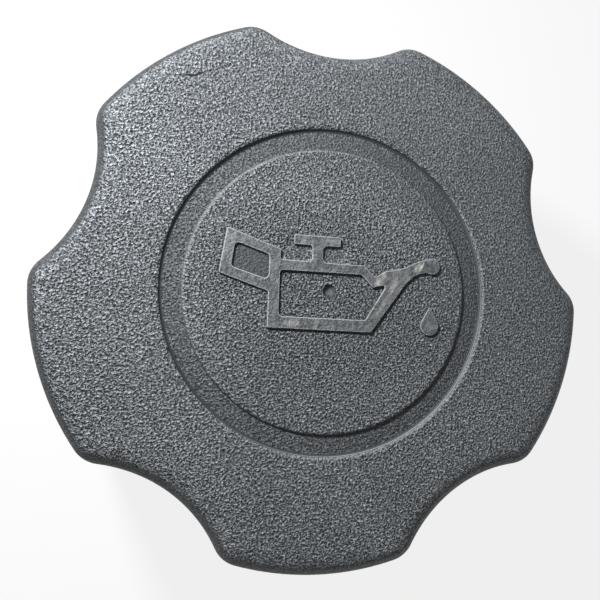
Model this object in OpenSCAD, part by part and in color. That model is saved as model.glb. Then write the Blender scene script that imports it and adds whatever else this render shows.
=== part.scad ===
// Screw-in oil filler cap. A lobed knob is moulded in one piece with its hollow,
// threaded spigot, and a flat rubber ring seals round the collar under the knob.
// The origin is on the axis at the spigot's lower end. +Z runs up through the knob
// and +Y is the way the raised symbol reads upwards. All lengths are in millimetres.

/* [Knob] */
// Number of lobes
lobes = 5; // [4:1:7]
// Radius of each scallop between two lobes
scallop_r = 16.6; // [14:0.2:20]
// Depth of each scallop inside the lobe circle
scallop_depth = 4; // [2:0.1:5]
// Radius of the round corner between a lobe and a scallop
corner_r = 3.5; // [3:0.1:5]
// Height of the knob, from its rim to its flat top
knob_h = 15; // [12:0.5:18]
// Radius of the rounded top edge
edge_r = 2.8; // [1:0.1:2.9]
// Draft of the skirt, in degrees
draft_a = 1; // [0:0.25:2]
// Thickness of the skirt
skirt_t = 2.4; // [1.8:0.1:3]
// Room between the skirt and the wall round the sealing ring, at a scallop
skirt_room = 1.8; // [1.2:0.1:4]
// Rounding of the skirt's lower rim
rim_r = 0.7; // [0.3:0.1:0.9]
// Thickness of the knob's top
top_t = 2.8; // [2.2:0.1:3.6]

/* [Top face] */
// Outer radius of the ring groove
groove_r = 18.6; // [17.5:0.1:20]
// Width of the ring groove
groove_w = 2.3; // [1.5:0.1:3]
// Depth of the ring groove
groove_depth = 0.5; // [0.5:0.1:1.2]
// Rounding of the groove's outer lip
lip_r = 0.3; // [0.2:0.1:0.4]
// Rounding of the centre disc's edge
disc_edge_r = 0.3; // [0.1:0.1:0.4]
// Diameter of the moulding gate's dimple on the axis
gate_d = 1.5; // [1:0.1:2.5]
// Depth of the gate's dimple
gate_depth = 0.5; // [0.2:0.1:0.8]
// Height of the raised symbol
symbol_h = 0.35; // [0.3:0.05:0.8]
// Width of the raised oil can, from its handle to its spout
symbol_w = 25.5; // [22:0.5:26]

/* [Spigot] */
// Height of the whole cap, from the spigot's end to the knob's flat top
cap_h = 30; // [28:0.5:36]
// Wall thickness of the spigot
spigot_t = 2.5; // [2:0.1:3]
// Length of the plain lead-in below the thread
pilot_h = 5; // [4:0.5:6]
// Step in radius between the lead-in and the core of the thread
pilot_step = 0.4; // [0.3:0.1:0.6]
// Chamfer at the spigot's end
lead_in = 0.6; // [0.3:0.1:1]
// Length of the collar that carries the sealing ring
collar_h = 4.2; // [3.8:0.1:5]

/* [Thread] */
// Outer diameter of the thread
thread_d = 35; // [30:0.5:42]
// Depth of the thread, from its crest to the spigot's core
thread_depth = 1.8; // [1.4:0.1:2.2]
// Pitch of the thread
thread_pitch = 4; // [3.5:0.25:5]
// Number of turns
thread_turns = 3; // [2:0.25:3.5]
// Width of the thread ridge at its root
thread_root_w = 3; // [2.4:0.1:3.2]
// Width of the thread ridge at its crest
thread_crest_w = 1.2; // [0.8:0.1:1.6]

/* [Sealing ring] */
// Thickness of the sealing ring
seal_t = 3; // [2:0.1:3.6]
// Radial width of the sealing ring
seal_w = 4.2; // [3.5:0.1:4.5]
// Clearance between the ring and its collar
seal_gap = 0.3; // [0.1:0.05:0.5]
// Rounding of the ring's edges
seal_edge_r = 0.5; // [0.2:0.1:0.9]

/* [Underside] */
// Height of the land that the sealing ring bears on
land_h = 0.8; // [0.4:0.1:1.2]
// Thickness of the low wall round the sealing ring
fence_t = 1.4; // [1:0.1:1.8]
// Clearance between the sealing ring and that wall
fence_gap = 0.4; // [0.2:0.1:0.8]
// Height of that wall below the land
fence_h = 3.4; // [2.5:0.1:3.8]
// Thickness of the stiffening ribs
rib_t = 1.4; // [1:0.1:2]
// Depth of the stiffening ribs below the top
rib_h = 4; // [2:0.5:6]
// Angle of each rib from the middle of its lobe, in degrees
rib_a = 9; // [5:0.5:12]

/* [Hidden] */

cap_colour = [0.20, 0.21, 0.22];
seal_colour = [0.06, 0.06, 0.06];
$fn = 96;
bite = 0.4;        // how far a joined shape runs into the next one
past = 1;          // how far a cut runs past the face that it opens

// Heights, counted up from the spigot's end
rim_z = cap_h - knob_h;
ceiling_z = cap_h - top_t;
land_z = ceiling_z - land_h;
seal_z = land_z - seal_t;
collar_z = land_z - collar_h;
fence_z = land_z - fence_h;
rib_z = ceiling_z - rib_h;

// Radii, counted outwards from the thread. The knob is as wide as what it covers.
thread_r = thread_d / 2;
spigot_r = thread_r - thread_depth;
pilot_r = spigot_r - pilot_step;
bore_r = spigot_r - spigot_t;
seal_in_r = thread_r + seal_gap;
seal_out_r = seal_in_r + seal_w;
fence_in_r = seal_out_r + fence_gap;
fence_out_r = fence_in_r + fence_t;
knob_r = fence_out_r + skirt_room + skirt_t + scallop_depth;
disc_r = groove_r - groove_w;

// Outline of the knob. Each lobe is an arc about the axis, each scallop is an arc
// about a centre outside the knob, and a corner arc touches both.
scallop_arc_n = 8;
corner_arc_n = 4;
lobe_arc_n = 6;
edge_arc_n = 6;
rim_arc_n = 2;
least_corner_r = 0.5;
pitch_a = 360 / lobes;
first_scallop_a = 90;
scallop_centre_r = knob_r - scallop_depth + scallop_r;

function polar(r, a) = r * [cos(a), sin(a)];

function arc(centre, r, a0, a1, n) =
    [for (i = [0:n - 1]) centre + polar(r, a0 + (a1 - a0) * i / n)];

// The outline moved inwards by d
function outline(d) =
    let (
        lobe = knob_r - d,
        scallop = scallop_r + d,
        corner = max(corner_r - d, least_corner_r),
        in_r = lobe - corner,
        out_r = scallop + corner,
        b = acos((in_r * in_r + scallop_centre_r * scallop_centre_r - out_r * out_r)
                 / (2 * in_r * scallop_centre_r)),
        f = atan2(in_r * sin(b), scallop_centre_r - in_r * cos(b))
    )
    [for (k = [0:lobes - 1])
        let (
            a = first_scallop_a + k * pitch_a,
            c = a + pitch_a
        )
        each concat(
            arc(polar(scallop_centre_r, a), scallop, a + 180 + f, a + 180 - f, scallop_arc_n),
            arc(polar(in_r, a + b), corner, a - f, a + b, corner_arc_n),
            arc([0, 0], lobe, a + b, c - b, lobe_arc_n),
            arc(polar(in_r, c - b), corner, c - b, c + f, corner_arc_n)
        )];

// Section through the skirt as [inset from the outline, height], from the ceiling
// of the cavity down its wall, round the rim and up to the flat top
rim_out = knob_h * tan(draft_a);
ceiling_r = 0.6;
wall_section = concat(
    [for (i = [0:rim_arc_n])
        let (a = 90 * i / rim_arc_n)
        [skirt_t + ceiling_r * (1 - sin(a)), ceiling_z - ceiling_r * (1 - cos(a))]],
    [[skirt_t - rim_out, rim_z]],
    [for (i = [0:rim_arc_n])
        let (a = 90 * i / rim_arc_n)
        [rim_r * (1 - sin(a)) - rim_out, rim_z + rim_r * (1 - cos(a))]],
    [for (i = [0:edge_arc_n])
        let (a = 90 * i / edge_arc_n)
        [edge_r * (1 - cos(a)), cap_h - edge_r * (1 - sin(a))]]
);

module knob_shell() {
    rings = [for (s = wall_section) [for (p = outline(s[0])) [p[0], p[1], s[1]]]];
    n = len(rings[0]);
    m = len(rings);
    // The flat ends are fans about a point on the axis
    polyhedron(
        points = concat(
            [for (ring = rings) each ring],
            [[0, 0, ceiling_z], [0, 0, cap_h]]
        ),
        faces = concat(
            [for (j = [0:n - 1]) [j, (j + 1) % n, m * n]],
            [for (i = [0:m - 2], j = [0:n - 1])
                [i * n + (j + 1) % n, i * n + j, (i + 1) * n + j, (i + 1) * n + (j + 1) % n]],
            [for (j = [0:n - 1]) [(m - 1) * n + (j + 1) % n, (m - 1) * n + j, m * n + 1]]
        )
    );
}

// Section of the spigot, its collar, the land and the fence
module spigot_section() {
    polygon([
        [0, ceiling_z + bite],
        [0, 0],
        [pilot_r - lead_in, 0],
        [pilot_r, lead_in],
        [pilot_r, pilot_h],
        [spigot_r, pilot_h],
        [spigot_r, collar_z],
        [thread_r, collar_z + thread_r - spigot_r],
        [thread_r, land_z],
        [fence_in_r, land_z],
        [fence_in_r, fence_z],
        [fence_out_r, fence_z],
        [fence_out_r, ceiling_z + bite]
    ]);
}

module thread_ridge() {
    steps_per_turn = 36;
    steps = ceil(thread_turns * steps_per_turn);
    fade = steps_per_turn / 6;
    start_a = 215;
    low_z = pilot_h + thread_root_w / 2;
    root_r = spigot_r - bite;
    rings = [for (i = [0:steps])
        let (
            a = start_a + 360 * i / steps_per_turn,
            z = low_z + thread_pitch * i / steps_per_turn,
            grown = min(1, i / fade, (steps - i) / fade),
            crest_r = root_r + bite / 2 + (thread_r - root_r - bite / 2) * grown
        )
        [
            [root_r * cos(a), root_r * sin(a), z - thread_root_w / 2],
            [crest_r * cos(a), crest_r * sin(a), z - thread_crest_w / 2],
            [crest_r * cos(a), crest_r * sin(a), z + thread_crest_w / 2],
            [root_r * cos(a), root_r * sin(a), z + thread_root_w / 2]
        ]];
    polyhedron(
        points = [for (ring = rings) each ring],
        faces = concat(
            [[3, 2, 1, 0]],
            [for (i = [0:steps - 1], j = [0:3])
                let (a = 4 * i + j, b = 4 * i + (j + 1) % 4)
                each [[a, b + 4, a + 4], [a, b, b + 4]]],
            [[4 * steps, 4 * steps + 1, 4 * steps + 2, 4 * steps + 3]]
        )
    );
}

module ribs() {
    rib_end = knob_r - skirt_t / 2;
    for (k = [0:lobes - 1], side = [-1, 1])
        rotate(first_scallop_a + (k + 0.5) * pitch_a + side * rib_a)
            translate([fence_out_r - bite, -rib_t / 2, rib_z])
                cube([rib_end - fence_out_r + bite, rib_t, rib_h + bite]);
}

module groove_section() {
    polygon([
        [disc_r - disc_edge_r, cap_h],
        [disc_r - disc_edge_r * (1 - sin(45)), cap_h - disc_edge_r * (1 - cos(45))],
        [disc_r, cap_h - disc_edge_r],
        [disc_r, cap_h - groove_depth],
        [groove_r, cap_h - groove_depth],
        [groove_r, cap_h - lip_r],
        [groove_r + lip_r * (1 - sin(45)), cap_h - lip_r * (1 - cos(45))],
        [groove_r + lip_r, cap_h],
        [groove_r + lip_r, cap_h + past],
        [disc_r - disc_edge_r, cap_h + past]
    ]);
}

// The raised symbol is drawn on a 1 mm grid with the gate at [0, 0]
drawn_w = 25.5;
can_outline = [
    [-11.65, 6.45], [-5.6, 4.4], [-5.6, 3.2], [3.95, 3.15], [5.25, 1.85], [6.4, 2.6],
    [8.6, 3.12], [11.6, 4.35], [11.6, 2.75], [10.6, 2.5], [9.9, 2.15], [9, 1.3],
    [4.95, -4.55], [-6.93, -4.47], [-6.93, -0.45], [-12.4, 1.35]
];
handle_window = [[-10.65, 4.85], [-6.93, 3.62], [-6.93, 0.92], [-11, 2.13]];
body_window = [
    [-5.62, 2], [3.65, 1.98], [5, 0.58], [6.6, 1], [4.2, -3.1], [-5.62, -3.08]
];
filler_bar = [[-4.25, 4.97], [1.15, 6.15]];
filler_stem = [[-2.15, 3], [-0.85, 5.2]];
nozzle_at = [12.1, 3.5];
nozzle_r = 0.98;
drop_at = [11.93, -3.45];
drop_r = 1.14;
drop_tip = [11.93, -1.1];

module block(corners) {
    translate(corners[0])
        square(corners[1] - corners[0]);
}

module can_drawing() {
    difference() {
        union() {
            polygon(can_outline);
            block(filler_bar);
            block(filler_stem);
            translate(nozzle_at)
                circle(r = nozzle_r);
        }
        polygon(handle_window);
        polygon(body_window);
    }
}

module drop_drawing() {
    side_a = acos(drop_r / (drop_tip[1] - drop_at[1]));
    translate(drop_at)
        circle(r = drop_r);
    polygon([
        drop_tip,
        drop_at + polar(drop_r, 90 + side_a),
        drop_at,
        drop_at + polar(drop_r, 90 - side_a)
    ]);
}

module symbol() {
    k = symbol_w / drawn_w;
    translate([0, 0, cap_h - bite])
        linear_extrude(symbol_h + bite)
            scale([k, k]) {
                can_drawing();
                drop_drawing();
            }
}

module cap_body() {
    color(cap_colour)
        difference() {
            union() {
                knob_shell();
                union() {
                    rotate_extrude()
                        spigot_section();
                    thread_ridge();
                    ribs();
                    symbol();
                }
            }
            union() {
                rotate_extrude()
                    groove_section();
                translate([0, 0, -past])
                    cylinder(r = bore_r, h = ceiling_z + past);
                translate([0, 0, cap_h - gate_depth])
                    cylinder(d = gate_d, h = gate_depth + past);
            }
        }
}

module seal_ring() {
    e = seal_edge_r;
    color(seal_colour)
        rotate_extrude()
            polygon([
                [seal_in_r + e, seal_z],
                [seal_out_r - e, seal_z],
                [seal_out_r, seal_z + e],
                [seal_out_r, land_z - e],
                [seal_out_r - e, land_z],
                [seal_in_r + e, land_z],
                [seal_in_r, land_z - e],
                [seal_in_r, seal_z + e]
            ]);
}

cap_body();
seal_ring();
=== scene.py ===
# Screw-in oil filler cap: a lobed knob of grained nylon, moulded in one piece with its
# threaded spigot, and a rubber sealing ring. Lengths in the dictionaries are millimetres.
import math

import bmesh
import bpy
from mathutils import Matrix, Vector
from mathutils.geometry import delaunay_2d_cdt


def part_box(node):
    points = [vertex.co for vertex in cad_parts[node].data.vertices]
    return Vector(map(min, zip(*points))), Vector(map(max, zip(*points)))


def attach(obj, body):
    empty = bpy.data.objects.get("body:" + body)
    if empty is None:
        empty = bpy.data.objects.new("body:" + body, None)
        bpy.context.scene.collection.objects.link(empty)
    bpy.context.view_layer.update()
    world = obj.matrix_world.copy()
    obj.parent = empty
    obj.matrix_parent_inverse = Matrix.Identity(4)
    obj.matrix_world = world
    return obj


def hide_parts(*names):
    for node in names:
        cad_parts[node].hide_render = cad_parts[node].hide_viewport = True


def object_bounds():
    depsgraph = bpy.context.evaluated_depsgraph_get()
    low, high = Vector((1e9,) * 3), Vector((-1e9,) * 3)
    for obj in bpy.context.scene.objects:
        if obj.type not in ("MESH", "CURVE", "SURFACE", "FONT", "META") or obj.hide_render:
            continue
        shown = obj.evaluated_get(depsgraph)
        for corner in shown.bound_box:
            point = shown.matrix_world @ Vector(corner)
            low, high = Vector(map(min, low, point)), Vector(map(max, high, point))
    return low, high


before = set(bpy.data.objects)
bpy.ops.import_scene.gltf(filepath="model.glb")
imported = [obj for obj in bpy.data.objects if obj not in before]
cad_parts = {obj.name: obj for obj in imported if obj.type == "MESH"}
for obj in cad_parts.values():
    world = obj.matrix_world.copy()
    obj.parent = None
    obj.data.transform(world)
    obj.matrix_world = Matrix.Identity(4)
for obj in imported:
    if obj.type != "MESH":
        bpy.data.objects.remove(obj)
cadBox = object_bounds()
mm = 0.001                   # the frame is in metres
weldGap = 2e-6               # metres
sharpDegrees = 34            # edges that turn more stay sharp
print("frame loaded")


# Rounds each corner (x, y, radius) of a path with an arc that touches both sides
def roundCorners(corners, closed, stepDegrees=15):
    path = []
    count = len(corners)
    for i, (x, y, radius) in enumerate(corners):
        here = Vector((x, y))
        if radius == 0 or (not closed and i in (0, count - 1)):
            path.append(here)
            continue
        before = (Vector(corners[i - 1][:2]) - here).normalized()
        after = (Vector(corners[(i + 1) % count][:2]) - here).normalized()
        half = before.angle(after) / 2
        centre = here + (before + after).normalized() * (radius / math.sin(half))
        start = here + before * (radius / math.tan(half)) - centre
        end = here + after * (radius / math.tan(half)) - centre
        turn = math.pi - 2 * half
        if start.x * end.y < start.y * end.x:
            turn = -turn
        steps = max(2, round(abs(math.degrees(turn)) / stepDegrees))
        for k in range(steps + 1):
            path.append(centre + Matrix.Rotation(turn * k / steps, 2) @ start)
    return path


def polar(radius, degrees):
    return Vector((radius * math.cos(math.radians(degrees)),
                   radius * math.sin(math.radians(degrees))))


knob = {
    "lobes": 5,
    "lobeRadius": 32.0,
    "scallopRadius": 16.6,
    "scallopDepth": 4.0,
    "cornerRadius": 3.5,
    "leastCorner": 0.5,
    "height": 15.0,
    "topEdge": 2.8,          # the soft roll round the top
    "edgeSteps": 14,
    "topMargin": 1.0,        # flat row behind the roll, which keeps its shading clean
    "draftDegrees": 1.0,
    "sideShares": (0.35, 0.65, 0.9),
    "grainStart": 1.2,       # the steel was sparked from this far above the rim
    "skirt": 2.4,
    "topThickness": 2.8,
    "ceilingRound": 0.6,
    "ceilingMargin": 1.2,
    "rimInside": 0.3,
    "rimOutside": 0.7,
    "firstScallop": 90,      # a scallop stands above the symbol
    "scallopSteps": 24,
    "cornerSteps": 8,
    "lobeSteps": 20,
}


# Outline of the knob, moved inwards by inset: a scallop, a corner, a lobe and a corner
def lobedOutline(inset):
    lobe = knob["lobeRadius"] - inset
    scallop = knob["scallopRadius"] + inset
    corner = max(knob["cornerRadius"] - inset, knob["leastCorner"])
    reach = knob["lobeRadius"] - knob["scallopDepth"] + knob["scallopRadius"]
    inner = lobe - corner
    outer = scallop + corner
    toCorner = math.degrees(math.acos((inner**2 + reach**2 - outer**2) / (2 * inner * reach)))
    swing = math.degrees(math.atan2(inner * math.sin(math.radians(toCorner)),
                                    reach - inner * math.cos(math.radians(toCorner))))
    pitch = 360 / knob["lobes"]
    points = []
    for k in range(knob["lobes"]):
        a = knob["firstScallop"] + k * pitch
        c = a + pitch
        for centre, radius, start, end, steps in (
                (polar(reach, a), scallop, a + 180 + swing, a + 180 - swing,
                 knob["scallopSteps"]),
                (polar(inner, a + toCorner), corner, a - swing, a + toCorner,
                 knob["cornerSteps"]),
                (Vector((0, 0)), lobe, a + toCorner, c - toCorner, knob["lobeSteps"]),
                (polar(inner, c - toCorner), corner, c - toCorner, c + swing,
                 knob["cornerSteps"])):
            for i in range(steps):
                points.append(centre + polar(radius, start + (end - start) * i / steps))
    return points


# Every ring of points has one in each of the outline's directions, so that all rings bridge
columns = [math.atan2(p.y, p.x) for p in lobedOutline(0)]
columns = [a + 2 * math.pi * (a < columns[0] - 1e-9) for a in columns]


def roundOutline(radius):
    return [Vector((radius * math.cos(a), radius * math.sin(a))) for a in columns]


spigot = {
    "radius": 15.7,
    "wall": 2.5,
    "leadIn": 0.6,
    "plain": 5.0,            # below the thread
    "plainStep": 0.4,        # and this much slimmer than the thread's core
    "stepHeight": 0.15,
    "collarStart": 22.2,
    "collarCorner": 0.3,
    "boreCorner": 0.5,
    "boreMouth": 0.25,
    "endCorner": 0.15,
    "leadInCorner": 0.4,
    "stepCorner": 0.1,
    "fanRadius": 0.5,        # a fan closes the ceiling inside this
}
thread = {
    "radius": 17.5,
    "pitch": 4.0,
    "turns": 3,
    "rootWidth": 3.0,
    "crestWidth": 1.2,
    "corner": 0.25,
    "stepDegrees": 20,
    "startDegrees": 215,
    "fadeTurns": 1 / 6,
    "spareTurns": 3,         # rows past both ends, which fold onto the plain spigot
}
underside = {
    "landHeight": 0.8,
    "landCorner": 0.3,
    "wallInside": 22.4,
    "wallOutside": 23.8,
    "wallHeight": 3.4,
    "corner": 0.4,
    "margin": 0.6,           # first row of the ceiling outside the wall
    "ribThickness": 1.4,
    "ribDepth": 4.0,
    "ribDegrees": 9,
    "ribCorner": 0.3,
    "ribSink": 1,            # into the ceiling
    "ribOverlap": 0.5,       # and into the wall
}
face = {
    "grooveRadius": 18.7,
    "grooveWidth": 2.63,
    "grooveDepth": 0.44,
    "margin": 1.1,           # first flat row at both sides
    "stepDegrees": 6,
    "floorFall": 0.14,       # the floor lies lower at the knob's side
    "lipFoot": 0.45,         # and rises to it in a soft curve
    "lipLean": 0.3,          # draft of its two sides, under a soft roll
    "lipRoll": 0.55,
    "discFoot": 0.08,
    "discLean": 0.2,
    "discRoll": 0.45,
    "lipShadedWall": -0.2,         # the walls are unsparked and painted dark as their shade from here, in shares of the depth
    "discShadedWall": 0.05,
    "shadedWallEnd": 0.5,          # up to here
    "lipHighlight": 0.95,          # painted highlight: how pale the two rolls are painted where they face the key lamp
    "discHighlight": 0.6,
    "highlightDegrees": 316,       # the knob's roll is painted palest here, where it faces the key lamp, and the disc's opposite
    "highlightFade": 0.7,          # and both fade from there round the cap
    "highlightStart": 0.2,         # painted pale between these shares of the depth
    "highlightEnd": 0.96,
    "gateRadius": 0.75,
    "gateDepth": 0.45,
    "gateSteps": 48,
    "gateRows": 7,
    # painted highlight: the bottom of the gate's bowl is painted paler
    "gateHighlight": 0.2,
    "gateHighlightRow": 5,         # from this row to the bottom
}
symbol = {
    "height": 0.35,
    "wallLean": 0.04,
    "wallShares": (0.1, 0.6),
    "edge": 0.1,
    # rounded edges rubbed pale, which also stands in for the highlight along the lit edges
    "edgeWearAndHighlight": 0.85,
    "sharp": 0.2,
    "soft": 0.45,
    "nozzleCentre": (12.1, 3.5),
    "nozzleRadius": 0.98,
    "nozzleSweep": (125, -125),
    "nozzleSteps": 20,
    "dropCentre": (11.93, -3.45),
    "dropRadius": 1.14,
    "dropTip": 2.35,
    "dropSteps": 28,
}
capTop = cadBox[1].z / mm - symbol["height"]
ceiling = capTop - knob["topThickness"]
land = ceiling - underside["landHeight"]
grainOf = {                  # share of the full spark-eroded grain
    "hidden": 0.6,
    "groove": 0.66,
    "symbol": 0.16,
    "window": 0.3,
    "full": 1.0,
    "disc": 1.8,             # deepest here, where nothing rubs it
}


# The mesh is gathered as loose strips and welded at the end. Each point keeps three marks: its
# share of the grain, whether it is on the raised symbol, and how pale its edge is painted, for
# rubbing and as painted highlight.
class Strips:
    def __init__(self):
        self.points, self.faces, self.grain, self.raised, self.edge = [], [], [], [], []

    def addRow(self, outline, heights, grain, raised=0.0, edge=0.0):
        first = len(self.points)
        edges = edge if isinstance(edge, list) else [edge] * len(outline)
        for p, z, rub in zip(outline, heights, edges):
            self.points.append((p.x, p.y, z))
            self.grain.append(grain)
            self.raised.append(raised)
            self.edge.append(rub)
        return first

    def bridge(self, low, high, count, closed=True):
        for i in range(count if closed else count - 1):
            j = (i + 1) % count
            self.faces.append((low + i, low + j, high + j, high + i))

    # Joins rows of an outline, its height and its marks, from the first to the last
    def stack(self, rows):
        previous = None
        for outline, height, *marks in rows:
            first = self.addRow(outline, [height] * len(outline), *marks)
            if previous is not None:
                self.bridge(previous, first, len(outline))
            previous = first

    # Fills the flat area between loops by the even-odd rule
    def fillFlat(self, loops, height, raised=0.0):
        points, edges, grains = [], [], []
        for outline, grain in loops:
            first = len(points)
            points += [Vector((p.x, p.y)) for p in outline]
            grains += [grain] * len(outline)
            edges += [(first + i, first + (i + 1) % len(outline)) for i in range(len(outline))]
        verts, _, faces, origins, _, _ = delaunay_2d_cdt(points, edges, [], 0, 1e-6)
        base = len(self.points)
        for p, origin in zip(verts, origins):
            self.points.append((p.x, p.y, height))
            self.grain.append(grains[origin[0]])
            self.raised.append(raised)
            self.edge.append(0.0)
        for f in faces:
            centre = sum((verts[i] for i in f), Vector((0, 0))) / len(f)
            if sum(contains(outline, centre) for outline, _ in loops) % 2:
                self.faces.append(tuple(base + i for i in f))


def contains(outline, point):
    inside = False
    for a, b in zip(outline, outline[1:] + outline[:1]):
        if (a.y > point.y) != (b.y > point.y):
            if point.x < a.x + (b.x - a.x) * (point.y - a.y) / (b.y - a.y):
                inside = not inside
    return inside


# Moves a closed outline to its left, which is into the raised material
def shifted(outline, distance):
    leastMitre = 0.3         # keeps the points of sharp corners from running far out
    moved = []
    for i, p in enumerate(outline):
        before = (p - outline[i - 1]).normalized()
        after = (outline[(i + 1) % len(outline)] - p).normalized()
        left = Vector((-before.y - after.y, before.x + after.x)).normalized()
        mitre = max(leastMitre, left.dot(Vector((-after.y, after.x))))
        moved.append(p + left * distance / mitre)
    return moved


# Outlines of the oil can, its two windows and the drop: corners as x, y and radius
def symbolOutlines():
    sharp, soft = symbol["sharp"], symbol["soft"]
    body = roundCorners([
        (-11.65, 6.45, sharp), (-12.4, 1.35, sharp), (-6.93, -0.45, sharp),
        (-6.93, -4.47, sharp), (4.95, -4.55, sharp), (9.0, 1.3, 0.9), (9.9, 2.15, 0.8),
        (10.6, 2.5, 0.8)], False)
    centre = Vector(symbol["nozzleCentre"])
    start, end = symbol["nozzleSweep"]
    steps = symbol["nozzleSteps"]
    nozzle = [centre + polar(symbol["nozzleRadius"], end + (start - end) * i / steps)
              for i in range(steps + 1)]
    rest = roundCorners([
        (11.4, 4.3, 0), (10.6, 4.1, 1.0), (8.6, 3.12, 2.0), (6.4, 2.6, 0.3),
        (5.25, 1.85, sharp), (3.95, 3.15, sharp), (-0.85, 3.15, 0.5), (-0.85, 4.97, 0.5),
        (1.15, 4.97, sharp), (1.15, 6.15, sharp), (-4.25, 6.15, sharp), (-4.25, 4.97, sharp),
        (-2.15, 4.97, 0.3), (-2.15, 3.2, 0.4), (-5.6, 3.25, 0.15), (-5.6, 4.4, sharp),
        (-11.65, 6.45, 0)], False)
    firstCorner = roundCorners([
        (-5.6, 4.4, 0), (-11.65, 6.45, sharp), (-12.4, 1.35, 0)], False)[1:-1]
    can = firstCorner + body[1:] + nozzle + rest[1:-1]
    handleWindow = roundCorners([
        (-10.65, 4.85, soft), (-6.93, 3.62, soft), (-6.93, 0.92, soft), (-11.0, 2.13, soft)],
        True)
    bodyWindow = roundCorners([
        (-5.62, 2.0, 0.3), (3.65, 1.98, 0.25), (5.0, 0.58, 0.25), (6.6, 1.0, 0.2),
        (4.2, -3.1, 0.3), (-5.62, -3.08, soft)], True)
    centre = Vector(symbol["dropCentre"])
    side = math.degrees(math.acos(symbol["dropRadius"] / symbol["dropTip"]))
    steps = symbol["dropSteps"]
    drop = [centre + polar(symbol["dropRadius"], 90 + side + (360 - 2 * side) * i / steps)
            for i in range(steps + 1)]
    tip = Vector((0, symbol["dropTip"]))
    drop += roundCorners([
        (*drop[-1], 0), (*(centre + tip), symbol["sharp"]), (*drop[0], 0)], False)[1:-1]
    return [can, handleWindow, bodyWindow, drop]


# Bore, its ceiling, the spigot's end and the plain lead-in
def addSpigot(strips):
    hidden = grainOf["hidden"]
    bore = spigot["radius"] - spigot["wall"]
    plain = spigot["radius"] - spigot["plainStep"]
    path = roundCorners([
        (spigot["fanRadius"], ceiling, 0), (bore, ceiling, spigot["boreCorner"]),
        (bore, 0, spigot["boreMouth"]), (plain - spigot["leadIn"], 0, spigot["endCorner"]),
        (plain, spigot["leadIn"], spigot["leadInCorner"]),
        (plain, spigot["plain"], spigot["stepCorner"]),
        (spigot["radius"], spigot["plain"], spigot["stepCorner"]),
        (spigot["radius"], spigot["plain"] + spigot["stepHeight"], 0)], False)
    strips.stack([(roundOutline(p.x), p.y, hidden) for p in path])
    middle = strips.addRow([Vector((0, 0))], [ceiling], hidden)
    count = len(columns)
    strips.faces += [(middle, (i + 1) % count, i) for i in range(count)]


# Each row follows the helix, held between the plain ends
def addThread(strips):
    low, high = spigot["plain"] + spigot["stepHeight"], spigot["collarStart"]
    depth = thread["radius"] - spigot["radius"]
    half, crest = thread["rootWidth"] / 2, thread["crestWidth"] / 2
    section = roundCorners([
        (-thread["pitch"] / 2, 0, 0), (-half, 0, thread["corner"]),
        (-crest, depth, thread["corner"]), (crest, depth, thread["corner"]),
        (half, 0, thread["corner"]), (thread["pitch"] / 2, 0, 0)],
        False, thread["stepDegrees"])[:-1]
    turned = columns + [columns[0] + 2 * math.pi]
    previous = None
    for k in range(-thread["spareTurns"], thread["turns"] + thread["spareTurns"]):
        for across, out in section:
            outline, heights = [], []
            for a in turned:
                t = k + (math.degrees(a) - thread["startDegrees"]) / 360
                grown = min(t, thread["turns"] - t) / thread["fadeTurns"]
                z = spigot["plain"] + half + thread["pitch"] * t + across
                held = min(max(z, low), high)
                radius = spigot["radius"] + out * min(max(grown, 0), 1) * (held == z)
                outline.append(Vector((radius * math.cos(a), radius * math.sin(a))))
                heights.append(held)
            row = strips.addRow(outline, heights, grainOf["hidden"])
            if previous is not None:
                strips.bridge(previous, row, len(turned), False)
            previous = row


# How much wider the draft makes the knob at its rim
def skirtLean():
    return knob["height"] * math.tan(math.radians(knob["draftDegrees"]))


# Collar, land, the low wall round the ring, ceiling and the inside of the skirt
def undersideRows():
    hidden = grainOf["hidden"]
    corner = underside["corner"]
    wallEnd = land - underside["wallHeight"]
    high = spigot["collarStart"]
    path = roundCorners([
        (spigot["radius"], high, 0),
        (thread["radius"], high + thread["radius"] - spigot["radius"], spigot["collarCorner"]),
        (thread["radius"], land, underside["landCorner"]),
        (underside["wallInside"], land, underside["landCorner"]),
        (underside["wallInside"], wallEnd, corner), (underside["wallOutside"], wallEnd, corner),
        (underside["wallOutside"], ceiling, corner),
        (underside["wallOutside"] + underside["margin"], ceiling, 0)], False)
    rows = [(roundOutline(p.x), p.y, hidden) for p in path]
    rim, lean = capTop - knob["height"], skirtLean()
    above = rim + 3          # any height over the rim's two corners
    path = roundCorners([
        (knob["skirt"] + knob["ceilingMargin"], ceiling, 0),
        (knob["skirt"], ceiling, knob["ceilingRound"]),
        (knob["skirt"] - lean, rim, knob["rimInside"])], False)
    path += roundCorners([
        (knob["skirt"] - lean, above, 0), (knob["skirt"] - lean, rim, knob["rimInside"]),
        (-lean, rim, knob["rimOutside"]), (-lean, above, 0)], False)[1:-1]
    return rows + [(lobedOutline(p.x), p.y, hidden) for p in path]


# Outside of the skirt and the rounded top edge
def knobRows():
    full = grainOf["full"]
    lean = skirtLean()
    start = capTop - knob["height"] + knob["grainStart"]
    wallTop = capTop - knob["topEdge"]
    rows = [(lobedOutline(-lean), start, full)]
    for share in knob["sideShares"]:
        rows.append((lobedOutline(-lean * (1 - share)), start + (wallTop - start) * share, full))
    for i in range(knob["edgeSteps"] + 1):
        a = math.radians(90 * i / knob["edgeSteps"])
        rows.append((lobedOutline(knob["topEdge"] * (1 - math.cos(a))),
                     wallTop + knob["topEdge"] * math.sin(a), full))
    rows.append((lobedOutline(knob["topEdge"] + knob["topMargin"]), capTop, full))
    return rows


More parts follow.
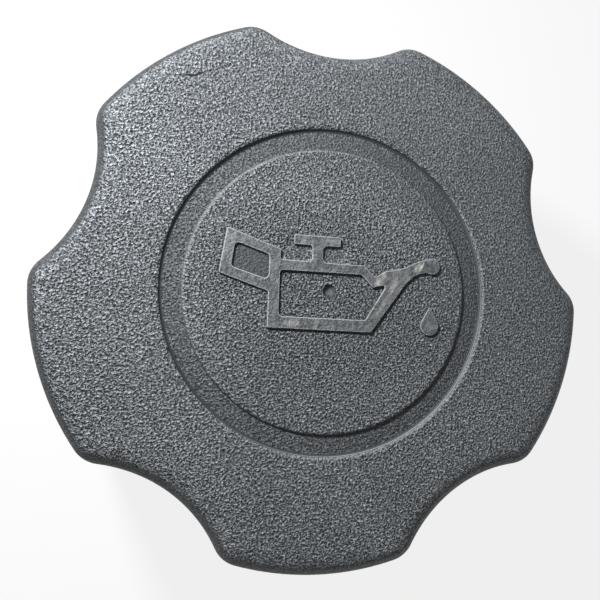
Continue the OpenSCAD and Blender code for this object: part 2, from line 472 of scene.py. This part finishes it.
# Ring groove, from the knob's side to the flat of the disc
def grooveRows():
    outside = face["grooveRadius"]
    inside = outside - face["grooveWidth"]
    floor = capTop - face["grooveDepth"]
    path = roundCorners([
        (outside + face["margin"], capTop, 0), (outside, capTop, face["lipRoll"]),
        (outside - face["lipLean"], floor - face["floorFall"], face["lipFoot"]),
        (inside + face["discLean"], floor, face["discFoot"]),
        (inside, capTop, face["discRoll"]), (inside - face["margin"], capTop, 0)],
        False, face["stepDegrees"])
    # Painted highlight: each roll is painted pale on the side that faces the key lamp
    palest = math.radians(face["highlightDegrees"])
    towards = [math.cos(a - palest) for a in columns]
    lipHighlight = [face["lipHighlight"] * max(0, t) ** face["highlightFade"] for t in towards]
    discHighlight = [face["discHighlight"] * max(0, -t) ** face["highlightFade"] for t in towards]
    rows = []
    for p in path:
        risen = (p.y - floor) / face["grooveDepth"]
        onLip = p.x > (outside + inside) / 2
        # Painted shade: the walls take no grain, so they wear the dark smooth colour
        shadedWall = face["lipShadedWall"] if onLip else face["discShadedWall"]
        grain = (grainOf["groove"] if risen < shadedWall
                 else 0 if risen < face["shadedWallEnd"] else grainOf["full"])
        rubbed = face["highlightStart"] < risen < face["highlightEnd"]
        rub = [r * rubbed for r in (lipHighlight if onLip else discHighlight)]
        rows.append((roundOutline(p.x), p.y, grain, 0, rub))
    return rows


# Disc with the gate's bowl and the raised symbol
def addDisc(strips):
    discGrain, symbolGrain = grainOf["disc"], grainOf["symbol"]
    flat = roundOutline(face["grooveRadius"] - face["grooveWidth"] - face["margin"])
    loops = symbolOutlines()
    footGrain = [discGrain, grainOf["window"], discGrain, discGrain]
    steps = face["gateSteps"]
    bowl = []
    for k in range(face["gateRows"]):
        a = math.radians(90 * k / face["gateRows"])
        outline = [polar(face["gateRadius"] * math.cos(a), 360 * i / steps)
                   for i in range(steps)]
        # Painted highlight: the bottom rows of the bowl are painted paler
        rub = face["gateHighlight"] * (k >= face["gateHighlightRow"])
        bowl.append((outline, capTop - face["gateDepth"] * math.sin(a),
                     symbolGrain if k else discGrain, 0, rub))
    strips.fillFlat([(flat, grainOf["full"]), (bowl[0][0], discGrain)]
                    + list(zip(loops, footGrain)), capTop)
    strips.stack(bowl)
    strips.fillFlat([(bowl[-1][0], symbolGrain)], bowl[-1][1])

    lean, edge, height = symbol["wallLean"], symbol["edge"], symbol["height"]
    side = roundCorners(
        [(0, capTop, 0)]
        + [(lean * share, capTop + height * share, 0) for share in symbol["wallShares"]]
        + [(lean, capTop + height, edge), (lean + edge, capTop + height, 0)], False)
    roundStart = 1 + len(symbol["wallShares"])   # first row of the rounded edge
    for outline, foot in zip(loops, footGrain):
        rows = []
        for i, p in enumerate(side):
            # Painted shade: the walls take no grain, so they wear the dark smooth colour; the
            # rounded edge is painted pale, rubbed and as painted highlight
            grain = foot if i == 0 else symbolGrain * (i >= roundStart)
            rub = symbol["edgeWearAndHighlight"] * (roundStart <= i < len(side) - 1)
            rows.append((shifted(outline, p.x), p.y, grain, float(i > roundStart), rub))
        strips.stack(rows)
    strips.fillFlat([(shifted(outline, side[-1].x), symbolGrain) for outline in loops],
                    capTop + height, 1.0)


def buildBody():
    strips = Strips()
    addSpigot(strips)
    addThread(strips)
    strips.stack(undersideRows() + knobRows() + grooveRows())
    addDisc(strips)
    return strips


# Welds the strips into one closed mesh, in metres
def weld(strips, name):
    mesh = bpy.data.meshes.new(name)
    mesh.from_pydata([[c * mm for c in p] for p in strips.points], [], strips.faces)
    for label, values in (("grain", strips.grain), ("raised", strips.raised),
                          ("edge", strips.edge)):
        mesh.attributes.new(label, "FLOAT", "POINT").data.foreach_set("value", values)
    bm = bmesh.new()
    bm.from_mesh(mesh)
    bmesh.ops.remove_doubles(bm, verts=bm.verts, dist=weldGap)
    bmesh.ops.dissolve_degenerate(bm, edges=bm.edges, dist=weldGap / 2)
    loose = [e for e in bm.edges if not e.link_faces]
    bmesh.ops.delete(bm, geom=loose, context="EDGES")
    bmesh.ops.recalc_face_normals(bm, faces=bm.faces)
    print(name, "open edges:", sum(1 for e in bm.edges if len(e.link_faces) != 2))
    bm.to_mesh(mesh)
    bm.free()
    piece = bpy.data.objects.new(name, mesh)
    bpy.context.scene.collection.objects.link(piece)
    return piece


# Two ribs in each lobe, as boxes that reach into the ceiling and the wall
def ribBoxes():
    bm = bmesh.new()
    start = underside["wallOutside"] - underside["ribOverlap"]
    end = knob["lobeRadius"] - knob["skirt"] / 2
    depth, sink = underside["ribDepth"], underside["ribSink"]
    size = Matrix.Diagonal((end - start, underside["ribThickness"], depth + sink, 1))
    for k in range(knob["lobes"]):
        for side in (-1, 1):
            middle = (k + 0.5) * 360 / knob["lobes"]
            angle = knob["firstScallop"] + middle + side * underside["ribDegrees"]
            place = (Matrix.Rotation(math.radians(angle), 4, "Z")
                     @ Matrix.Translation(((start + end) / 2, 0,
                                           ceiling - (depth - sink) / 2)))
            bmesh.ops.create_cube(bm, size=1, matrix=Matrix.Scale(mm, 4) @ place @ size)
    lower = [e for e in bm.edges
             if all(v.co.z < (ceiling - sink) * mm for v in e.verts)]
    bmesh.ops.bevel(bm, geom=lower, offset=underside["ribCorner"] * mm, segments=3,
                    profile=0.5, affect="EDGES")
    mesh = bpy.data.meshes.new("ribs")
    bm.to_mesh(mesh)
    bm.free()
    piece = bpy.data.objects.new("ribs", mesh)
    bpy.context.scene.collection.objects.link(piece)
    return piece


def smoothShade(piece):
    for polygon in piece.data.polygons:
        polygon.use_smooth = True
    piece.data.set_sharp_from_angle(angle=math.radians(sharpDegrees))
    weighted = piece.modifiers.new("weighted", "WEIGHTED_NORMAL")
    weighted.keep_sharp = True


capBody = weld(buildBody(), "moulded_cap")
ribs = ribBoxes()
joined = capBody.modifiers.new("ribs", "BOOLEAN")
joined.operation = "UNION"
joined.solver = "EXACT"
joined.object = ribs
bpy.context.view_layer.update()
evaluated = capBody.evaluated_get(bpy.context.evaluated_depsgraph_get())
merged = bpy.data.meshes.new_from_object(evaluated)
capBody.modifiers.clear()
capBody.data = merged
bpy.data.objects.remove(ribs)
smoothShade(capBody)
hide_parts("cap_body")
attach(capBody, "root")
print("cap body built:", len(capBody.data.polygons), "faces")


ring = {                     # its height comes from the frame
    "inside": 17.8,
    "outside": 22.0,
    "corner": 0.5,
}


def buildRing():
    low, high = (end.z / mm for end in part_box("seal_ring"))
    inside, outside, corner = ring["inside"], ring["outside"], ring["corner"]
    path = roundCorners([
        (inside, low, corner), (outside, low, corner), (outside, high, corner),
        (inside, high, corner)], True)
    strips = Strips()
    path.append(path[0])
    strips.stack([(roundOutline(p.x), p.y, 0.0) for p in path])
    return strips


sealRing = weld(buildRing(), "sealing_ring")
smoothShade(sealRing)
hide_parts("seal_ring")
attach(sealRing, "root")
print("sealing ring built")


# sRGB hex to linear
def hexColour(text):
    values = [int(text[i:i + 2], 16) / 255 for i in (1, 3, 5)]
    linear = [v / 12.92 if v <= 0.04045 else ((v + 0.055) / 1.055) ** 2.4 for v in values]
    return (*linear, 1.0)


# Adds a node, sets its properties and input values, and links sockets into it
def addNode(tree, kind, settings=None, values=None, links=None):
    node = tree.nodes.new(kind)
    for name, value in (settings or {}).items():
        setattr(node, name, value)
    for name, value in (values or {}).items():
        node.inputs[name].default_value = value
    for name, source in (links or {}).items():
        tree.links.new(source, node.inputs[name])
    return node


nylon = {
    "pale": "#a8aeb3",
    "middle": "#6a6e72",
    # pits are painted dark, which is partly their shade
    "pit": "#2c3033",
    "middleAt": 0.5,
    "smooth": "#3a3d40",     # edges and walls, where the steel was left unsparked; on the walls of the groove and the symbol it is also painted shade
    "pressed": "#3a3d40",    # top of the symbol, as moulded
    "worn": "#7c8083",       # and where hands and rags rub it
    "edge": "#9a9ea1",       # worn edges and fine scratches on them, and painted highlight on the groove's rolls and in the gate's bowl
    "scuff": "#d0d2ca",      # the other kinds of marks listed below
    # rub marks are pale wear, and the one at the handle's left end is painted light
    "rub": "#a2a8ae",
    "nick": "#1c1f21",
    "rubbedRough": 0.44,
    "pitRough": 0.62,
    "edgeRough": 0.36,       # edges are polished by handling
    "ior": 1.53,
    "specular": 0.25,        # the grain shades part of its own reflections
    "grainWidth": 0.25,      # spark-eroded grain, one bump
    "grainDetail": 1.5,
    "grainBreak": 0.55,
    "grainTwist": 0.4,
    "grainLow": 0.3,         # noise below this is pit, and above the next is rubbed top
    "grainHigh": 0.7,
    "grainDepth": 0.86,
    "noiseRange": (0.3, 0.7),    # where nearly all of a noise's values lie
    "fineWidth": 0.12,       # and a finer roughness on top of the bumps
    "fineDetail": 1.0,
    "fineShare": 0.2,
    "gripDegrees": 48,       # the side of the top that hands rub smooth
    "gripStart": -6,
    "gripEnd": 26,
    "gripGrain": 0.48,
    "freshStart": -8,        # and the far side, where the grain is as moulded
    "freshEnd": -30,
    "freshGrain": 1.35,
    "blotchWidth": 9.0,      # broad soft differences in tone
    "blotchDetail": 3.0,
    "blotchShade": (0.92, 1.08),
    "mottleWidth": 0.5,      # wear on the symbol's top
    "mottleDetail": 5.0,
    "mottleBreak": 0.8,
    "wipeDegrees": 62,       # rags wipe along the spout
    "wipeLength": 2.2,
    "fleckGrain": 0.7,       # the grain shows through the wear
    "fleckStart": 0.7,
    "fleckEnd": 1.14,
    "markGrain": 1.2,        # marks are broken up by the wear, and nicks aren't
    "markStart": 0.85,
    "markEnd": 1.35,
    "nickStart": 0.1,
    "nickEnd": 0.5,
    "markReach": 0.8,        # height over and under the top
    "calmGrain": 0.35,       # share of the grain left in the symbol's pockets
    "calmFull": 0.5,         # from halfway in to the middle
    "sideGrain": 0.2,        # share of the grain below the top's rounded edge
    "sidePaintedShade": 0.52,       # painted shade: how much darker the sides are painted
    "edgeHigh": 0.42,        # the sides begin between these depths under the top
    "edgeLow": 0.98,
    "overStart": 10,         # the grain runs further over the edge on the gripped side, and the painted shade of the sides starts lower there
    "overEnd": 26,
    "overDrop": 0.9,
    "discPaintedShade": 0.93,       # painted shade on the disc inside the groove, and painted light on the knob's rim
    "rimPaintedLight": 1.06,
    "shadeInside": 1,        # the shade turns from this far inside the groove
    "shadeOutside": 4,       # to this far outside
}
calmPlaces = [               # place, half length, half width, degrees
    ((-3.95, 4.15), 2.6, 1.8, 0),
    ((0.4, 4.1), 2.2, 1.6, 0),
]
marks = [                    # place, half length, half width, degrees, strength, kind
    ((6.0, 1.6), 1.7, 1.0, 52, 0.75, "scuff"),
    ((5.6, 1.2), 1.2, 0.4, 60, 0.6, "scuff"),
    ((7.4, 0.9), 2.6, 0.7, 60, 0.35, "scuff"),
    ((5.8, -1.8), 2.8, 0.5, 57, 0.3, "scuff"),
    ((7.5, 0.8), 7.0, 3.0, 58, 0.16, "scuff"),
    ((10.2, 3.2), 1.4, 1.0, 60, 0.5, "scuff"),
    ((10.78, 3.3), 1.1, 0.28, 66, 1.0, "scuff"),
    ((10.0, 3.0), 1.1, 0.25, 66, 0.6, "scuff"),
    ((-4.2, -3.8), 2.2, 0.9, 5, 0.4, "scuff"),
    ((-1.5, -3.85), 1.6, 0.7, 80, 0.3, "scuff"),
    ((0.5, 5.6), 2.2, 0.7, 0, 0.3, "scuff"),
    # painted light: the handle's left end, nearest the key lamp, is painted paler
    ((-11.6, 4.6), 3.2, 1.8, 78, 0.3, "rub"),
    ((-3.2, 5.6), 1.2, 0.7, 80, 0.25, "scuff"),
    ((11.9, -3.2), 3.2, 2.0, 90, 0.3, "rub"),
    ((-16.4, 22.88), 0.9, 0.2, 2, 1.0, "nick"),
    ((-15.4, 23.15), 0.8, 0.2, 25, 1.0, "nick"),
    ((-13.6, 23.95), 2.6, 0.15, 22, 0.5, "nick"),
    ((-17.9, 22.7), 1.6, 0.14, 8, 0.45, "nick"),
    ((-8.3, 26.35), 1.5, 0.16, 13, 0.6, "nick"),
    ((14.25, 20.2), 1.9, 0.1, 107, 0.3, "edge"),
    ((14.95, 17.6), 1.6, 0.1, 96, 0.25, "edge"),
    ((13.3, 19.6), 1.6, 0.1, 108, 0.2, "edge"),
]


# Fades from 1 in the middle of an oval patch of the top to 0 at its edge
def spotAt(tree, inMm, place, length, width, degrees):
    near = addNode(tree, "ShaderNodeMapping", {"vector_type": "TEXTURE"},
                   {"Location": (*place, capTop), "Rotation": (0, 0, math.radians(degrees)),
                    "Scale": (length, width, nylon["markReach"])},
                   {"Vector": inMm}).outputs[0]
    return addNode(tree, "ShaderNodeTexGradient", {"gradient_type": "SPHERICAL"}, None,
                   {"Vector": near}).outputs["Fac"]


# PA66 nylon with glass fibre, moulded against spark-eroded steel: a matte pebbled grain whose
# tops are rubbed pale and whose pits are painted dark, partly as their shade, smoother on edges
# and on the symbol, with painted shade and highlights where noted below
def mouldedNylon():
    material = bpy.data.materials.new("grained_nylon")
    material.use_nodes = True
    tree = material.node_tree
    shader = tree.nodes["Principled BSDF"]
    place = addNode(tree, "ShaderNodeTexCoord").outputs["Object"]
    inMm = addNode(tree, "ShaderNodeVectorMath", {"operation": "MULTIPLY"},
                   {1: (1 / mm,) * 3}, {0: place}).outputs[0]
    moulded = addNode(tree, "ShaderNodeAttribute", {"attribute_name": "grain"}).outputs["Fac"]
    raised = addNode(tree, "ShaderNodeAttribute", {"attribute_name": "raised"}).outputs["Fac"]
    edge = addNode(tree, "ShaderNodeAttribute", {"attribute_name": "edge"}).outputs["Fac"]

    # Share of the grain: less on the gripped side, in the symbol's pockets and on the sides
    grip = math.radians(nylon["gripDegrees"])
    towardsGrip = addNode(tree, "ShaderNodeVectorMath", {"operation": "DOT_PRODUCT"},
                          {1: (math.cos(grip), math.sin(grip), 0)}, {0: inMm}).outputs["Value"]
    kept = addNode(tree, "ShaderNodeMapRange", {"interpolation_type": "SMOOTHSTEP"},
                   {"From Min": nylon["gripStart"], "From Max": nylon["gripEnd"],
                    "To Min": 1.0, "To Max": nylon["gripGrain"]},
                   {"Value": towardsGrip}).outputs[0]
    edge = addNode(tree, "ShaderNodeMath", {"operation": "MULTIPLY"}, None,
                   {0: edge, 1: kept}).outputs[0]
    fresh = addNode(tree, "ShaderNodeMapRange", None,
                    {"From Min": nylon["freshStart"], "From Max": nylon["freshEnd"],
                     "To Min": 1.0, "To Max": nylon["freshGrain"]},
                    {"Value": towardsGrip}).outputs[0]
    grainShare = addNode(tree, "ShaderNodeMath", {"operation": "MULTIPLY"}, None,
                         {0: moulded, 1: kept}).outputs[0]
    grainShare = addNode(tree, "ShaderNodeMath", {"operation": "MULTIPLY"}, None,
                         {0: grainShare, 1: fresh}).outputs[0]
    height = addNode(tree, "ShaderNodeSeparateXYZ", None, None, {0: inMm}).outputs["Z"]
    lowered = addNode(tree, "ShaderNodeMapRange", {"interpolation_type": "SMOOTHSTEP"},
                      {"From Min": nylon["overStart"], "From Max": nylon["overEnd"],
                       "To Max": nylon["overDrop"]}, {"Value": towardsGrip}).outputs[0]
    lifted = addNode(tree, "ShaderNodeMath", {"operation": "ADD"}, None,
                     {0: height, 1: lowered}).outputs[0]
    onTop = addNode(tree, "ShaderNodeMapRange", {"interpolation_type": "SMOOTHSTEP"},
                    {"From Min": capTop - nylon["edgeLow"],
                     "From Max": capTop - nylon["edgeHigh"]}, {"Value": lifted}).outputs[0]
    topShare = addNode(tree, "ShaderNodeMapRange", None, {"To Min": nylon["sideGrain"]},
                       {"Value": onTop}).outputs[0]
    grainShare = addNode(tree, "ShaderNodeMath", {"operation": "MULTIPLY"}, None,
                         {0: grainShare, 1: topShare}).outputs[0]
    for placed in calmPlaces:
        left = addNode(tree, "ShaderNodeMapRange", None,
                       {"From Max": nylon["calmFull"], "To Min": 1.0,
                        "To Max": nylon["calmGrain"]},
                       {"Value": spotAt(tree, inMm, *placed)}).outputs[0]
        grainShare = addNode(tree, "ShaderNodeMath", {"operation": "MULTIPLY"}, None,
                             {0: grainShare, 1: left}).outputs[0]

    # Grain: worm-like bumps with dark pits between them
    bumps = addNode(tree, "ShaderNodeTexNoise", None,
                    {"Scale": 1 / nylon["grainWidth"], "Detail": nylon["grainDetail"],
                     "Roughness": nylon["grainBreak"], "Distortion": nylon["grainTwist"]},
                    {"Vector": inMm}).outputs["Fac"]
    sharpened = addNode(tree, "ShaderNodeMapRange", {"interpolation_type": "SMOOTHSTEP"},
                        {"From Min": nylon["grainLow"], "From Max": nylon["grainHigh"]},
                        {"Value": bumps}).outputs[0]
    fine = addNode(tree, "ShaderNodeTexNoise", None,
                   {"Scale": 1 / nylon["fineWidth"], "Detail": nylon["fineDetail"]},
                   {"Vector": inMm}).outputs["Fac"]
    relief = addNode(tree, "ShaderNodeMath", {"operation": "MULTIPLY_ADD"},
                     {1: nylon["fineShare"]}, {0: fine, 2: bumps}).outputs[0]
    depth = addNode(tree, "ShaderNodeMath", {"operation": "MULTIPLY"}, None,
                    {0: relief, 1: grainShare}).outputs[0]
    bump = addNode(tree, "ShaderNodeBump", None,
                   {"Strength": 1.0, "Distance": nylon["grainDepth"] * mm},
                   {"Height": depth})

    # Colour follows the same grain: pale rubbed tops, and pits painted dark, partly as their
    # shade
    tone = addNode(tree, "ShaderNodeValToRGB", None, None, {"Fac": sharpened})
    tone.color_ramp.elements[0].color = hexColour(nylon["pit"])
    tone.color_ramp.elements[1].color = hexColour(nylon["pale"])
    tone.color_ramp.elements.new(nylon["middleAt"]).color = hexColour(nylon["middle"])
    capped = addNode(tree, "ShaderNodeMath", {"operation": "MINIMUM"}, {1: 1.0},
                     {0: moulded}).outputs[0]    # the disc's deeper grain is no paler
    colourShare = addNode(tree, "ShaderNodeMath", {"operation": "MULTIPLY"}, None,
                          {0: grainShare, 1: capped}).outputs[0]
    grained = addNode(tree, "ShaderNodeMix", {"data_type": "RGBA"},
                      {6: hexColour(nylon["smooth"])},
                      {0: colourShare, 7: tone.outputs["Color"]}).outputs[2]

    # The symbol's top is smooth from the steel and worn in flecks along the wiping
    wiped = addNode(tree, "ShaderNodeMapping", {"vector_type": "TEXTURE"},
                    {"Rotation": (0, 0, math.radians(nylon["wipeDegrees"])),
                     "Scale": (nylon["wipeLength"], 1, 1)}, {"Vector": inMm}).outputs[0]
    mottles = addNode(tree, "ShaderNodeTexNoise", None,
                      {"Scale": 1 / nylon["mottleWidth"], "Detail": nylon["mottleDetail"],
                       "Roughness": nylon["mottleBreak"]}, {"Vector": wiped}).outputs["Fac"]
    flecks = addNode(tree, "ShaderNodeMath", {"operation": "MULTIPLY_ADD"},
                     {1: nylon["fleckGrain"]}, {0: bumps, 2: mottles}).outputs[0]
    flecks = addNode(tree, "ShaderNodeMapRange", None,
                     {"From Min": nylon["fleckStart"], "From Max": nylon["fleckEnd"]},
                     {"Value": flecks}).outputs[0]
    rubbed = addNode(tree, "ShaderNodeMix", {"data_type": "RGBA"},
                     {6: hexColour(nylon["pressed"]), 7: hexColour(nylon["worn"])},
                     {0: flecks}).outputs[2]
    grained = addNode(tree, "ShaderNodeMix", {"data_type": "RGBA"}, None,
                      {0: raised, 6: grained, 7: rubbed}).outputs[2]
    # Pale edges: the symbol's rubbed edges, which also stand in for the highlight along the lit
    # ones, and painted highlight on the groove's rolls and in the gate's bowl
    grained = addNode(tree, "ShaderNodeMix", {"data_type": "RGBA"},
                      {7: hexColour(nylon["edge"])}, {0: edge, 6: grained}).outputs[2]
    for *placed, strength, kind in marks:
        spot = spotAt(tree, inMm, *placed)
        start, end = nylon["nickStart"], nylon["nickEnd"]
        if kind != "nick":
            spot = addNode(tree, "ShaderNodeMath", {"operation": "MULTIPLY_ADD"},
                           {1: nylon["markGrain"]}, {0: mottles, 2: spot}).outputs[0]
            start, end = nylon["markStart"], nylon["markEnd"]
        amount = addNode(tree, "ShaderNodeMapRange", None,
                         {"From Min": start, "From Max": end, "To Max": strength},
                         {"Value": spot}).outputs[0]
        if kind in ("scuff", "rub"):             # these stay on the raised symbol
            amount = addNode(tree, "ShaderNodeMath", {"operation": "MULTIPLY"}, None,
                             {0: amount, 1: raised}).outputs[0]
        grained = addNode(tree, "ShaderNodeMix", {"data_type": "RGBA"},
                          {7: hexColour(nylon[kind])}, {0: amount, 6: grained}).outputs[2]

    # Broad shade: random blotches of tone, painted shade on the lower disc, painted light on the
    # rim, and painted shade on the sides
    blotches = addNode(tree, "ShaderNodeTexNoise", None,
                       {"Scale": 1 / nylon["blotchWidth"], "Detail": nylon["blotchDetail"]},
                       {"Vector": inMm}).outputs["Fac"]
    low, high = nylon["noiseRange"]
    darkest, palest = nylon["blotchShade"]
    shade = addNode(tree, "ShaderNodeMapRange", None,
                    {"From Min": low, "From Max": high, "To Min": darkest, "To Max": palest},
                    {"Value": blotches}).outputs[0]
    fromAxis = addNode(tree, "ShaderNodeVectorMath", {"operation": "LENGTH"}, None,
                       {0: addNode(tree, "ShaderNodeVectorMath", {"operation": "MULTIPLY"},
                                   {1: (1, 1, 0)}, {0: inMm}).outputs[0]}).outputs["Value"]
    # Painted shade and light: the disc inside the groove darker, the knob's rim paler
    rim = addNode(tree, "ShaderNodeMapRange", {"interpolation_type": "SMOOTHSTEP"},
                  {"From Min": (face["grooveRadius"] - face["grooveWidth"]
                                - nylon["shadeInside"]),
                   "From Max": face["grooveRadius"] + nylon["shadeOutside"],
                   "To Min": nylon["discPaintedShade"], "To Max": nylon["rimPaintedLight"]},
                  {"Value": fromAxis}).outputs[0]
    shade = addNode(tree, "ShaderNodeMath", {"operation": "MULTIPLY"}, None,
                    {0: shade, 1: rim}).outputs[0]
    # Painted shade: the sides below the top's rounded edge are darker
    side = addNode(tree, "ShaderNodeMapRange", None, {"To Min": nylon["sidePaintedShade"]},
                   {"Value": onTop}).outputs[0]
    shade = addNode(tree, "ShaderNodeMath", {"operation": "MULTIPLY"}, None,
                    {0: shade, 1: side}).outputs[0]
    shaded = addNode(tree, "ShaderNodeVectorMath", {"operation": "SCALE"}, None,
                     {0: grained, "Scale": shade}).outputs[0]

    # Pits are dull, and rubbed tops and edges shine a little
    rough = addNode(tree, "ShaderNodeMapRange", None,
                    {"From Min": low, "From Max": high, "To Min": nylon["pitRough"],
                     "To Max": nylon["rubbedRough"]}, {"Value": bumps}).outputs[0]
    rough = addNode(tree, "ShaderNodeMix", None, {3: nylon["edgeRough"]},
                    {0: edge, 2: rough}).outputs[0]
    tree.links.new(shaded, shader.inputs["Base Color"])
    tree.links.new(bump.outputs["Normal"], shader.inputs["Normal"])
    tree.links.new(rough, shader.inputs["Roughness"])
    shader.inputs["IOR"].default_value = nylon["ior"]
    shader.inputs["Specular IOR Level"].default_value = nylon["specular"]
    return material


rubber = {
    "black": "#161617",
    "bloom": "#2c2c2d",      # wax that has come to the surface in soft patches
    "bloomWidth": 2.5,
    "bloomDetail": 5.0,
    "bloomBreak": 0.65,
    "bloomLow": 0.42,
    "bloomHigh": 0.66,
    "skinWidth": 0.2,        # faint texture of the moulded skin
    "skinDetail": 2.0,
    "skinDepth": 0.03,
    "cleanRough": 0.5,
    "bloomRough": 0.7,
    "ior": 1.52,
}


# Nitrile rubber, compression moulded: black, with a soft dull sheen and grey wax bloom
def mouldedRubber():
    material = bpy.data.materials.new("moulded_nitrile_rubber")
    material.use_nodes = True
    tree = material.node_tree
    shader = tree.nodes["Principled BSDF"]
    place = addNode(tree, "ShaderNodeTexCoord").outputs["Object"]
    bloom = addNode(tree, "ShaderNodeTexNoise", None,
                    {"Scale": 1 / (rubber["bloomWidth"] * mm), "Detail": rubber["bloomDetail"],
                     "Roughness": rubber["bloomBreak"]}, {"Vector": place}).outputs["Fac"]
    skin = addNode(tree, "ShaderNodeTexNoise", None,
                   {"Scale": 1 / (rubber["skinWidth"] * mm), "Detail": rubber["skinDetail"]},
                   {"Vector": place}).outputs["Fac"]
    patches = addNode(tree, "ShaderNodeMapRange", {"interpolation_type": "SMOOTHSTEP"},
                      {"From Min": rubber["bloomLow"], "From Max": rubber["bloomHigh"]},
                      {"Value": bloom}).outputs[0]
    colour = addNode(tree, "ShaderNodeMix", {"data_type": "RGBA"},
                     {6: hexColour(rubber["black"]), 7: hexColour(rubber["bloom"])},
                     {0: patches}).outputs[2]
    rough = addNode(tree, "ShaderNodeMapRange", None,
                    {"To Min": rubber["cleanRough"], "To Max": rubber["bloomRough"]},
                    {"Value": patches}).outputs[0]
    bump = addNode(tree, "ShaderNodeBump", None,
                   {"Strength": 1.0, "Distance": rubber["skinDepth"] * mm},
                   {"Height": skin}).outputs["Normal"]
    for name, source in (("Base Color", colour), ("Roughness", rough), ("Normal", bump)):
        tree.links.new(source, shader.inputs[name])
    shader.inputs["IOR"].default_value = rubber["ior"]
    return material


capBody.data.materials.clear()
capBody.data.materials.append(mouldedNylon())
sealRing.data.materials.append(mouldedRubber())
print("materials done")


studio = {
    "floorSize": 3.0,
    "floor": "#f2f2f2",
    "floorGlow": 0.85,       # share of the floor that is plain white to the camera
    "fill": 0.1,
    "keyDegrees": (136, 37),     # round the cap and up from its top
    "keyAway": 92,
    "keySize": 13,               # small, so that the grain and groove throw clear shadows
    "keyWatts": 0.178,
}


# 1 for the camera, reflections and glass, which see white, and 0 for the light on the cap
def seenDirectly(tree):
    path = addNode(tree, "ShaderNodeLightPath")
    seen = path.outputs["Is Camera Ray"]
    for ray in ("Is Glossy Ray", "Is Transmission Ray"):
        seen = addNode(tree, "ShaderNodeMath", {"operation": "MAXIMUM"}, None,
                       {0: seen, 1: path.outputs[ray]}).outputs[0]
    return seen


def buildStudio():
    scene = bpy.context.scene
    half = studio["floorSize"] / 2
    mesh = bpy.data.meshes.new("floor")
    mesh.from_pydata([(-half, -half, 0), (half, -half, 0), (half, half, 0), (-half, half, 0)],
                     [], [(0, 1, 2, 3)])
    floor = bpy.data.objects.new("floor", mesh)
    scene.collection.objects.link(floor)
    material = bpy.data.materials.new("floor_paper")
    material.use_nodes = True
    tree = material.node_tree
    tree.nodes.clear()
    glow = addNode(tree, "ShaderNodeEmission", None, {"Color": (1, 1, 1, 1)},
                   {"Strength": seenDirectly(tree)}).outputs[0]
    paper = addNode(tree, "ShaderNodeBsdfDiffuse", None,
                    {"Color": hexColour(studio["floor"])}).outputs[0]
    mixed = addNode(tree, "ShaderNodeMixShader", None, {0: studio["floorGlow"]},
                    {1: paper, 2: glow})
    addNode(tree, "ShaderNodeOutputMaterial", None, None, {"Surface": mixed.outputs[0]})
    mesh.materials.append(material)

    world = bpy.data.worlds.new("studio")
    world.use_nodes = True
    scene.world = world
    tree = world.node_tree
    background = tree.nodes["Background"]
    background.inputs["Color"].default_value = (1, 1, 1, 1)
    strength = addNode(tree, "ShaderNodeMapRange", None,
                       {"To Min": studio["fill"], "To Max": 1.0},
                       {"Value": seenDirectly(tree)}).outputs[0]
    tree.links.new(strength, background.inputs["Strength"])

    lamp = bpy.data.lights.new("key", "AREA")
    lamp.energy = studio["keyWatts"]
    lamp.size = studio["keySize"] * mm
    holder = bpy.data.objects.new("key", lamp)
    around, up = (math.radians(a) for a in studio["keyDegrees"])
    away = Vector((math.cos(around) * math.cos(up), math.sin(around) * math.cos(up),
                   math.sin(up)))
    holder.location = (Vector((0, 0, capTop)) + away * studio["keyAway"]) * mm
    holder.rotation_euler = (-away).to_track_quat("-Z", "Y").to_euler()
    holder.visible_camera = False
    scene.collection.objects.link(holder)


lens = {                     # fitted to the cap's outline, groove and symbol
    "focal": 687.2,          # pixels of the 600 pixel frame
    "centre": (352.8, 315.2),
    "frame": 600,
    "sensor": 36,
    "tilt": 13.95,           # degrees
    "tiltTowards": 14.36,
    "distance": 77.5,
    "slide": (-2.67, 2.73),
    "turn": -2.35,           # how far the cap is turned
    "clip": (5, 20000),
}


def buildCamera():
    scene = bpy.context.scene
    data = bpy.data.cameras.new("camera")
    data.sensor_width = lens["sensor"]
    data.sensor_fit = "HORIZONTAL"
    data.lens = lens["focal"] / lens["frame"] * data.sensor_width
    data.shift_x = 0.5 - lens["centre"][0] / lens["frame"]
    data.shift_y = lens["centre"][1] / lens["frame"] - 0.5
    data.clip_start, data.clip_end = (c * mm for c in lens["clip"])
    towards = math.radians(lens["tiltTowards"])
    axis = Vector((-math.sin(towards), math.cos(towards), 0))
    toCamera = (Matrix.Translation((*(s * mm for s in lens["slide"]), -lens["distance"] * mm))
                @ Matrix.Rotation(math.radians(lens["tilt"]), 4, axis)
                @ Matrix.Translation((0, 0, -capTop * mm))
                @ Matrix.Rotation(math.radians(lens["turn"]), 4, "Z"))
    camera = bpy.data.objects.new("camera", data)
    scene.collection.objects.link(camera)
    camera.matrix_world = toCamera.inverted()
    print("camera at", [round(c / mm, 1) for c in camera.matrix_world.translation], "mm")
    scene.camera = camera
    scene.view_settings.view_transform = "Standard"


buildStudio()
buildCamera()
print("studio and camera done")
